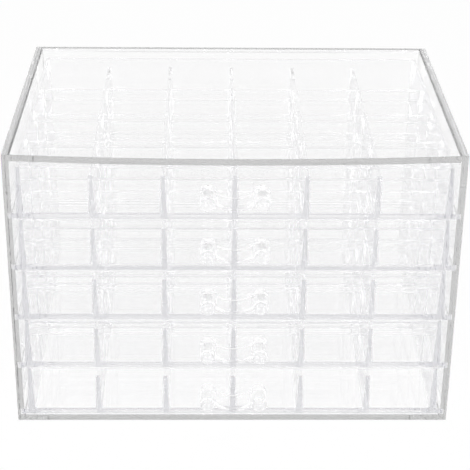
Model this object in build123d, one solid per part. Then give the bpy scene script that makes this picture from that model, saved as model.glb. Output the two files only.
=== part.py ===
from build123d import *
import math
import os

# A clear desktop organizer: an open-fronted cabinet of bonded acrylic sheet, and a stack of
# clear moulded drawers. Each drawer is one tray of small compartments with a bonded handle.
# Millimetres, +Z up, +X to the right, the fronts face -Y.
# The origin is the middle of the cabinet's base, on the surface it stands on.

# ---------------------------------------------------------------- cabinet sheet
cabinet_width = 235.0
cabinet_depth = 166.0
sheet = 3.6                 # thickness of every cabinet panel
arris = 0.25                # chamfer along the panels' polished edges
glue_line = 0.05            # between two bonded faces

# ---------------------------------------------------------------- stack of drawers
drawer_count = 5
tray_height = 28.0          # underside to rim
tray_gap = 1.6              # from one tray's rim up to the next tray's underside
base_gap = 0.6              # from the bottom panel up to the lowest tray
head_room = 2.2             # spare height over the top tray, besides tray_gap
front_recess = 0.3          # the tray fronts sit this far behind the panels' front edges
rear_gap = 1.0              # from a closed tray to the back panel

# ---------------------------------------------------------------- grooves and flanges
groove_depth = 1.9
side_clearance = 0.3        # flange edge to groove wall
under_clearance = 0.1       # flange underside to groove floor
over_clearance = 0.3        # flange top to groove roof

# ---------------------------------------------------------------- one tray
columns = 6
rows = 4
floor_thickness = 2.0
flange_thickness = 3.0      # the floor's long edges, which run in the grooves
foot_gap = 1.7              # from the foot of a tray's side wall to the cabinet's side panel
rim_wall = 2.0              # outer wall thickness at the rim
divider_top = 1.7           # divider thickness along its top
divider_drop = 5.1          # the dividers' tops lie this far below the rim
outer_draft = 2.5           # degrees, outside of the outer walls
inner_draft = 1.7           # degrees, inside of every compartment
outer_corner_radius = 1.5   # upright corners of the tray
corner_radius = 0.6         # upright corners of a compartment
foot_radius = 0.4           # where a compartment's walls meet its floor
rim_radius = 0.35           # along the tops of the outer walls

# ---------------------------------------------------------------- one handle
post_diameter = 8.4
post_spacing = 27.5
handle_reach = 14.0         # from the tray's front to the ends of the posts
handle_height = 14.4        # post axis above the tray's underside
post_edge_radius = 0.8
dish_diameter = 5.6         # shallow round dish in the end of each post
dish_depth = 0.5
web_thickness = 1.9
web_rise = 0.8              # the web meets the posts this far above their axis
web_sag = 4.2               # and hangs this far lower at its middle
web_setback = 1.0           # the web's front edge lies this far behind the ends of the posts
web_edge_radius = 0.5

# ---------------------------------------------------------------- worked out from these
drawer_pitch = tray_height + tray_gap
cabinet_height = 2 * sheet + base_gap + drawer_count * drawer_pitch + head_room
inner_width = cabinet_width - 2 * sheet
front = -cabinet_depth / 2
tray_front = front + front_recess
tray_rear = cabinet_depth / 2 - sheet - rear_gap
tray_depth = tray_rear - tray_front
tray_middle = (tray_rear + tray_front) / 2
tray_width = inner_width - 2 * foot_gap
flange_width = inner_width + 2 * (groove_depth - side_clearance)
wall_height = tray_height - flange_thickness
divider_level = tray_height - divider_drop
divider_height = divider_level - floor_thickness
outer_slope = math.tan(math.radians(outer_draft))
inner_slope = math.tan(math.radians(inner_draft))


def tray_underside(number):
    """Height of a closed or open tray's underside. Trays count from 1 at the top."""
    return sheet + base_gap + (drawer_count - number) * drawer_pitch


def block(width, depth, height, corner, rounded=0.0):
    """A box from its lowest corner, with its outer edges chamfered."""
    solid = Pos(*corner) * Box(width, depth, height, align=(Align.MIN, Align.MIN, Align.MIN))
    return chamfer(solid.edges(), rounded) if rounded else solid


def side_panel(hand):
    """One side of the cabinet. hand is -1 for the left side and 1 for the right."""
    left_face = -cabinet_width / 2 if hand < 0 else cabinet_width / 2 - sheet
    panel = block(sheet, cabinet_depth, cabinet_height, (left_face, front, 0), arris)
    groove_height = flange_thickness + under_clearance + over_clearance
    groove_centre = hand * (inner_width + groove_depth) / 2
    for number in range(1, drawer_count + 1):
        groove_middle = tray_underside(number) - under_clearance + groove_height / 2
        groove = Box(groove_depth, cabinet_depth + sheet, groove_height)
        panel -= Pos(groove_centre, 0, groove_middle) * groove
    return panel


def level_panel(underside):
    """The top or the bottom of the cabinet, between the sides and in front of the back."""
    width = inner_width - 2 * glue_line
    depth = cabinet_depth - sheet - glue_line
    return block(width, depth, sheet, (-width / 2, front, underside), arris)


def back_panel():
    width = inner_width - 2 * glue_line
    return block(width, sheet, cabinet_height, (-width / 2, cabinet_depth / 2 - sheet, 0), arris)


def drafted(width, depth, height, growth, radius):
    """A block standing on z = 0 whose four sides lean out by growth per unit of height."""
    foot = RectangleRounded(width, depth, radius)
    grown = height * growth
    head = Pos(0, 0, height) * RectangleRounded(width + 2 * grown, depth + 2 * grown, radius)
    return loft([foot.face(), head.face()])


def tray_body():
    """One tray at its own place: z = 0 is its underside and the middle of its floor is x = y = 0."""
    base = Pos(0, 0, flange_thickness / 2) * Box(flange_width, tray_depth, flange_thickness)
    walls = drafted(tray_width, tray_depth, wall_height, -outer_slope, outer_corner_radius)
    tray = base + Pos(0, 0, flange_thickness) * walls

    rim_width = tray_width - 2 * wall_height * outer_slope - 2 * rim_wall
    rim_depth = tray_depth - 2 * wall_height * outer_slope - 2 * rim_wall
    head_width = rim_width - 2 * divider_drop * inner_slope
    head_depth = rim_depth - 2 * divider_drop * inner_slope
    head = drafted(head_width, head_depth, divider_drop, inner_slope, corner_radius)
    tray -= Pos(0, 0, divider_level) * head

    column_pitch = (head_width + divider_top) / columns
    row_pitch = (head_depth + divider_top) / rows
    cell_width = column_pitch - divider_top - 2 * divider_height * inner_slope
    cell_depth = row_pitch - divider_top - 2 * divider_height * inner_slope
    cell = drafted(cell_width, cell_depth, divider_height, inner_slope, corner_radius)
    cell = fillet(cell.faces().sort_by(Axis.Z)[0].edges(), foot_radius)
    cell = Pos(0, 0, floor_thickness) * cell
    tray -= [spot * cell for spot in GridLocations(column_pitch, row_pitch, columns, rows)]

    rim = tray.faces().sort_by(Axis.Z)[-1]
    return fillet(rim.edges(), rim_radius)


def handle_body():
    """One handle: y = 0 is the foot of the tray's front, z = 0 is the tray's underside."""
    half = post_spacing / 2
    radius = post_diameter / 2
    post = Cylinder(radius, 2 * handle_reach)      # its rear half is cut away at the end
    post = fillet(post.faces().sort_by(Axis.Z)[-1].edges(), post_edge_radius)
    dish_radius = (dish_diameter ** 2 / 4 + dish_depth ** 2) / (2 * dish_depth)
    post -= Pos(0, 0, handle_reach - dish_depth + dish_radius) * Sphere(dish_radius)
    posts = [Pos(side * half, 0, 0) * Rot(90, 0, 0) * post for side in (-1, 1)]

    web_end = half - radius / 2                    # the web runs on inside each post
    chord = ThreePointArc((-web_end, web_rise), (0, web_rise - web_sag), (web_end, web_rise))
    band = trace(chord, web_thickness)
    web = extrude(Plane.XZ * band, handle_reach - web_setback)
    front_edges = web.faces().sort_by(Axis.Y)[0].edges().sort_by(SortBy.LENGTH)[-2:]
    web = fillet(front_edges, web_edge_radius)
    handle = posts[0] + posts[1] + web

    # the back of the handle follows the draft of the tray's front, one glue line in front of it
    spare = 2 * (post_spacing + handle_reach)      # larger than the handle each way
    behind = Box(spare, spare, spare, align=(Align.CENTER, Align.MIN, Align.CENTER))
    behind = Pos(0, -glue_line, flange_thickness - handle_height) * Rot(-outer_draft, 0, 0) * behind
    handle -= behind
    return Pos(0, 0, handle_height) * handle


def write(shape, node):
    export_step(shape, f"parts/{node}.step")


os.makedirs("parts", exist_ok=True)
write(side_panel(-1), "side_panel_left")
write(side_panel(1), "side_panel_right")
write(level_panel(cabinet_height - sheet), "top_panel")
write(level_panel(0), "bottom_panel")
write(back_panel(), "back_panel")
tray = tray_body()
handle = handle_body()
for number in range(1, drawer_count + 1):
    place = tray_underside(number)
    write(Pos(0, tray_middle, place) * tray, f"drawer_tray_{number}")
    write(Pos(0, tray_front, place) * handle, f"drawer_handle_{number}")
print("cabinet height", cabinet_height, "drawer pitch", drawer_pitch)
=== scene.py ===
import math

import bpy
from mathutils import Matrix, Vector


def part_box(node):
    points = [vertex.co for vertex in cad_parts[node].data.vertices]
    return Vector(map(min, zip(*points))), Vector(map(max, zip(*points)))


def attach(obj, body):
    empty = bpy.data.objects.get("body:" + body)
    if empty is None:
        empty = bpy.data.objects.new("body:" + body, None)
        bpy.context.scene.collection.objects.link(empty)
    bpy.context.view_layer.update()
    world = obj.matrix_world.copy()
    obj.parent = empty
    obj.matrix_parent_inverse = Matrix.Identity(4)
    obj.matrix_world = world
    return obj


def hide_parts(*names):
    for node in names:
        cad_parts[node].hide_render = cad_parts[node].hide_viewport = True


# Clear desktop organizer with five trays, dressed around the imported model. Metres, as in the frame.
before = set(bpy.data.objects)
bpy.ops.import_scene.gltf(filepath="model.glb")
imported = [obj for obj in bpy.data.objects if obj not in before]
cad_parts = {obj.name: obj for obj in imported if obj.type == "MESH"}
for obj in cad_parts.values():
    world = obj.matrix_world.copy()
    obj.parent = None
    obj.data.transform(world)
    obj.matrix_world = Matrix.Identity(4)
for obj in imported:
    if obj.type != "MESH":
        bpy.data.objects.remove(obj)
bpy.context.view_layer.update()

MM = 0.001

# the bowed top sheet
TOP_SAG = 2.05 * MM              # how far it hangs at the middle of its free front edge
TOP_ARRIS = 0.25 * MM            # chamfer along its polished edges
ARRIS_ANGLE = math.radians(60)   # edges sharper than this get the chamfer
SMOOTH_ANGLE = math.radians(20)  # faces that meet at less than this are shaded as one
SAG_COLUMNS = 24
SAG_ROWS = 8
PICK_REACH = 0.5 * MM            # vertices this close to a place count as lying there
NEARLY_PARALLEL = 0.99

# the camera, fitted to the cabinet's corners
PHOTO_SIDE = 470                 # pixels
FOCAL_PIXELS = 1433
SENSOR_WIDTH = 36                # the lens follows from it, so any width gives the same view
NEAREST_SEEN = 0.01
CAMERA_PLACE = Vector((-13.6, -744.1, 440.4)) * MM
CAMERA_DOWN = math.radians(26.3)
CAMERA_TURN = math.radians(1.19)
CAMERA_ROLL = math.radians(0.65)

# light, with the sweep under the object and the tent around it
PLAIN_LIGHT = 1.0                # all the light that falls on the object
SOFTBOX_SHARE = 0.35             # how much of it the two softboxes give; the rest is even, all round
SWEEP_SIDE = 6
SWEEP_DROP = 0.4 * MM            # the sweep lies this far under the base, so that no faces coincide
SWEEP_PAPER = "#F4F4F4"
FLOOR_GLOW = 0.94                # share of the sweep that is seen as pure white; the rest takes shadows
OPENING_UP = math.radians(33)    # the tent's front opening: height of its middle above the horizon,
OPENING_EDGE = math.radians(13)  # angle from its middle at which it starts to darken,
OPENING_CORE = math.radians(8)   # angle within which it is darkest,
OPENING_LEVEL = 0.06             # and how bright it is there
SOFTBOX_SIDE = 0.3               # two small softboxes, left and right of the opening
SOFTBOX_AWAY = 1.1
SOFTBOX_TURN = math.radians(38)
SOFTBOX_UP = math.radians(48)
SHADOW_TINT = (0.95, 0.95, 0.955, 1)    # of the light for the floor, what one surface lets through
LIGHT_BOUNCES = 96
CLEAR_SURFACES = 40              # the most surfaces that light for the floor passes


# ---------------------------------------------------------------- colours and nodes
def linear(hexa):
    """An sRGB hex colour as linear RGBA."""
    parts = [int(hexa[i:i + 2], 16) / 255 for i in (1, 3, 5)]
    return [c / 12.92 if c <= 0.04045 else ((c + 0.055) / 1.055) ** 2.4 for c in parts] + [1.0]


def node(tree, kind, settings=None, links=None):
    """Adds one shader node, with its settings by name and its input links by socket."""
    made = tree.nodes.new("ShaderNode" + kind)
    for name, value in (settings or {}).items():
        if isinstance(name, str) and hasattr(made, name):
            setattr(made, name, value)
        else:
            made.inputs[name].default_value = value
    for socket, source in (links or {}).items():
        tree.links.new(source, made.inputs[socket])
    return made


def new_material(name):
    material = bpy.data.materials.new(name)
    material.use_nodes = True
    material.node_tree.nodes.clear()
    return material, material.node_tree


def seen_directly(tree, path):
    """1 for rays that carry an image: straight from the camera, off a gloss or through the plastic."""
    seen = node(tree, "Math", {"operation": "MAXIMUM"},
                {0: path.outputs["Is Camera Ray"], 1: path.outputs["Is Glossy Ray"]})
    return node(tree, "Math", {"operation": "MAXIMUM"},
                {0: seen.outputs[0], 1: path.outputs["Is Transmission Ray"]})


# ---------------------------------------------------------------- clear plastics
def clear_plastic(name, ior, tint, density, wave_mm, wave_height_mm, stretch=(1, 1, 1)):
    """Clear plastic with a tint that deepens with thickness and a surface that is not quite flat."""
    material, tree = new_material(name)
    place = node(tree, "TexCoord")
    turned = node(tree, "Mapping", {"Scale": stretch}, {"Vector": place.outputs["Object"]})
    wave = node(tree, "TexNoise", {"Scale": 1 / (wave_mm * MM), "Detail": 1.0, "Roughness": 0.4},
                {"Vector": turned.outputs[0]})
    bump = node(tree, "Bump", {"Strength": 1.0, "Distance": wave_height_mm * MM},
                {"Height": wave.outputs["Fac"]})
    plastic = node(tree, "BsdfPrincipled", {
        "Base Color": (1, 1, 1, 1), "Roughness": 0.0, "IOR": ior, "Transmission Weight": 1.0},
        {"Normal": bump.outputs[0]})
    path = node(tree, "LightPath")
    through = node(tree, "BsdfTransparent", {"Color": SHADOW_TINT})
    mix = node(tree, "MixShader", {},
               {0: path.outputs["Is Shadow Ray"], 1: plastic.outputs[0], 2: through.outputs[0]})
    absorb = node(tree, "VolumeAbsorption", {"Color": linear(tint), "Density": density})
    node(tree, "OutputMaterial", {}, {"Surface": mix.outputs[0], "Volume": absorb.outputs[0]})
    return material


# Cast acrylic sheet, flame-polished edges: water clear through the face, an even grey through the edge.
sheet = clear_plastic("cast_acrylic_sheet", ior=1.49, tint="#808080", density=3.7,
                      wave_mm=45, wave_height_mm=0.0015)
# Injection-moulded styrene: glassy, faintly lavender where it is looked through lengthways.
tray = clear_plastic("moulded_clear_styrene", ior=1.57, tint="#808094", density=2.1,
                     wave_mm=14, wave_height_mm=0.0004, stretch=(1, 0.4, 1))
# The handles are the same styrene, thick enough for small sink waves that break up the highlights.
handle = clear_plastic("moulded_handle_styrene", ior=1.57, tint="#808090", density=1.5,
                       wave_mm=6, wave_height_mm=0.0005)


def finish_of(name):
    if name.startswith("drawer_handle"):
        return handle
    return tray if name.startswith("drawer_tray") else sheet


for name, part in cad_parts.items():
    part.data.materials.clear()
    part.data.materials.append(finish_of(name))


# ---------------------------------------------------------------- the bowed top sheet
def deselect_all():
    bpy.ops.object.select_all(action="DESELECT")


def select_vertices(mesh, wanted):
    """In edit mode: selects the vertices for which wanted(place) is true."""
    bpy.ops.object.mode_set(mode="OBJECT")
    for vertex in mesh.vertices:
        vertex.select = wanted(vertex.co)
    for edge in mesh.edges:
        edge.select = all(mesh.vertices[i].select for i in edge.vertices)
    for face in mesh.polygons:
        face.select = all(mesh.vertices[i].select for i in face.vertices)
    bpy.ops.object.mode_set(mode="EDIT")


def select_edges_along(mesh, axis):
    """In edit mode: selects the edges that run along an axis."""
    bpy.ops.object.mode_set(mode="OBJECT")
    for item in list(mesh.vertices) + list(mesh.polygons):
        item.select = False
    for edge in mesh.edges:
        ends = [mesh.vertices[i].co for i in edge.vertices]
        run = (ends[1] - ends[0]).normalized()
        edge.select = abs(run[axis]) > NEARLY_PARALLEL
    bpy.ops.object.mode_set(mode="EDIT")


def bowed_top():
    """The top sheet, bonded along its sides and back, hanging a little at its free front edge."""
    low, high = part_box("top_panel")
    size = [high[i] - low[i] for i in range(3)]
    middle = [(high[i] + low[i]) / 2 for i in range(3)]
    deselect_all()
    bpy.ops.mesh.primitive_cube_add(size=1, location=middle, scale=size)
    top = bpy.context.active_object
    top.name = "top_sheet"
    bpy.ops.object.transform_apply(location=True, rotation=True, scale=True)
    bpy.ops.object.mode_set(mode="EDIT")
    bpy.ops.mesh.select_mode(type="EDGE")
    for axis, cuts in ((0, SAG_COLUMNS - 1), (1, SAG_ROWS - 1)):
        select_edges_along(top.data, axis)
        bpy.ops.mesh.subdivide(number_cuts=cuts)
    bpy.ops.mesh.select_mode(type="VERT")
    for column in range(1, SAG_COLUMNS):
        x = low[0] + size[0] * column / SAG_COLUMNS
        across = 1 - (2 * column / SAG_COLUMNS - 1) ** 2
        for row in range(SAG_ROWS):
            y = low[1] + size[1] * row / SAG_ROWS
            along = 1 - (row / SAG_ROWS) ** 2
            select_vertices(top.data, lambda p: abs(p.x - x) < PICK_REACH and abs(p.y - y) < PICK_REACH)
            bpy.ops.transform.translate(value=(0, 0, -TOP_SAG * across * along))
    bpy.ops.object.mode_set(mode="OBJECT")
    edge = top.modifiers.new("polished arris", "BEVEL")
    edge.width = TOP_ARRIS
    edge.segments = 1
    edge.limit_method = "ANGLE"
    edge.angle_limit = ARRIS_ANGLE
    bpy.ops.object.modifier_apply(modifier=edge.name)
    bpy.ops.object.shade_smooth_by_angle(angle=SMOOTH_ANGLE)
    top.data.materials.append(sheet)
    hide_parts("top_panel")
    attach(top, "cabinet")


bowed_top()


# ---------------------------------------------------------------- floor, light tent and softboxes
def white_sweep():
    """A paper sweep that is seen as white, and takes the object's faint shadow."""
    deselect_all()
    bpy.ops.mesh.primitive_plane_add(size=SWEEP_SIDE, location=(0, 0, -SWEEP_DROP))
    floor = bpy.context.active_object
    floor.name = "floor"
    material, tree = new_material("white_paper_sweep")
    seen = seen_directly(tree, node(tree, "LightPath"))
    share = node(tree, "Math", {"operation": "MULTIPLY", 1: FLOOR_GLOW}, {0: seen.outputs[0]})
    colour = linear(SWEEP_PAPER)
    paper = node(tree, "BsdfDiffuse", {"Color": colour})
    lit = PLAIN_LIGHT * colour[0]
    white = node(tree, "Emission", {"Strength": (1 - (1 - FLOOR_GLOW) * lit) / FLOOR_GLOW})
    mix = node(tree, "MixShader", {}, {0: share.outputs[0], 1: paper.outputs[0], 2: white.outputs[0]})
    node(tree, "OutputMaterial", {}, {"Surface": mix.outputs[0]})
    floor.data.materials.append(material)


def light_tent():
    """White all round, with the dark opening of the tent in front, which the clear parts pick up."""
    world = bpy.data.worlds.new("light_tent")
    bpy.context.scene.world = world
    world.use_nodes = True
    tree = world.node_tree
    tree.nodes.clear()
    path = node(tree, "LightPath")
    seen = seen_directly(tree, path)
    place = node(tree, "TexCoord")
    middle = Vector((0, -math.cos(OPENING_UP), math.sin(OPENING_UP)))
    facing = node(tree, "VectorMath", {"operation": "DOT_PRODUCT", 1: middle},
                  {0: place.outputs["Generated"]})
    opening = node(tree, "MapRange", {
        "interpolation_type": "SMOOTHSTEP", "From Min": math.cos(OPENING_EDGE),
        "From Max": math.cos(OPENING_CORE), "To Min": 1.0, "To Max": OPENING_LEVEL},
        {"Value": facing.outputs["Value"]})
    bent = node(tree, "Math", {"operation": "SUBTRACT", 0: 1.0}, {1: path.outputs["Is Camera Ray"]})
    dark = node(tree, "MapRange", {"To Min": 1.0}, {0: bent.outputs[0], "To Max": opening.outputs[0]})
    level = node(tree, "MapRange", {"To Min": PLAIN_LIGHT - SOFTBOX_SHARE, "To Max": 1.0},
                 {0: seen.outputs[0]})
    strength = node(tree, "Math", {"operation": "MULTIPLY"}, {0: level.outputs[0], 1: dark.outputs[0]})
    back = node(tree, "Background", {"Color": (1, 1, 1, 1)}, {"Strength": strength.outputs[0]})
    node(tree, "OutputWorld", {}, {"Surface": back.outputs[0]})


def softbox(name, hand):
    """One softbox; it gives the round posts and rims of the handles their white highlights."""
    away = Vector((hand * math.sin(SOFTBOX_TURN) * math.cos(SOFTBOX_UP),
                   -math.cos(SOFTBOX_TURN) * math.cos(SOFTBOX_UP), math.sin(SOFTBOX_UP)))
    aim = away.to_track_quat("Z", "Y").to_euler()
    bpy.ops.object.light_add(type="AREA", location=away * SOFTBOX_AWAY, rotation=aim)
    lamp = bpy.context.active_object
    lamp.name = name
    lamp.data.size = SOFTBOX_SIDE
    # the watts at which one softbox gives a level surface half of their share
    lamp.data.energy = SOFTBOX_SHARE / 2 * (math.pi * SOFTBOX_AWAY) ** 2 / math.sin(SOFTBOX_UP)


white_sweep()
light_tent()
softbox("softbox_left", -1)
softbox("softbox_right", 1)


# ---------------------------------------------------------------- camera
def photo_camera():
    """A camera at the photograph's place and angle, level but for a slight roll."""
    camera = bpy.data.cameras.new("camera")
    camera.sensor_width = SENSOR_WIDTH
    camera.lens = SENSOR_WIDTH * FOCAL_PIXELS / PHOTO_SIDE
    camera.clip_start = NEAREST_SEEN
    eye = bpy.data.objects.new("camera", camera)
    bpy.context.scene.collection.objects.link(eye)
    ahead = Vector((math.sin(CAMERA_TURN), math.cos(CAMERA_TURN), 0))
    level = Vector((math.cos(CAMERA_TURN), -math.sin(CAMERA_TURN), 0))
    forward = ahead * math.cos(CAMERA_DOWN) - Vector((0, 0, math.sin(CAMERA_DOWN)))
    upright = level.cross(forward)
    right = math.cos(CAMERA_ROLL) * level + math.sin(CAMERA_ROLL) * upright
    up = math.cos(CAMERA_ROLL) * upright - math.sin(CAMERA_ROLL) * level
    turn = Matrix((right, up, -forward)).transposed().to_4x4()
    eye.matrix_world = Matrix.Translation(CAMERA_PLACE) @ turn
    bpy.context.scene.camera = eye


photo_camera()
scene = bpy.context.scene
scene.view_settings.view_transform = "Standard"
# light runs the length of a panel by bouncing inside it, so it needs many bounces
scene.cycles.max_bounces = LIGHT_BOUNCES
scene.cycles.transmission_bounces = LIGHT_BOUNCES
scene.cycles.glossy_bounces = LIGHT_BOUNCES
scene.cycles.transparent_max_bounces = CLEAR_SURFACES
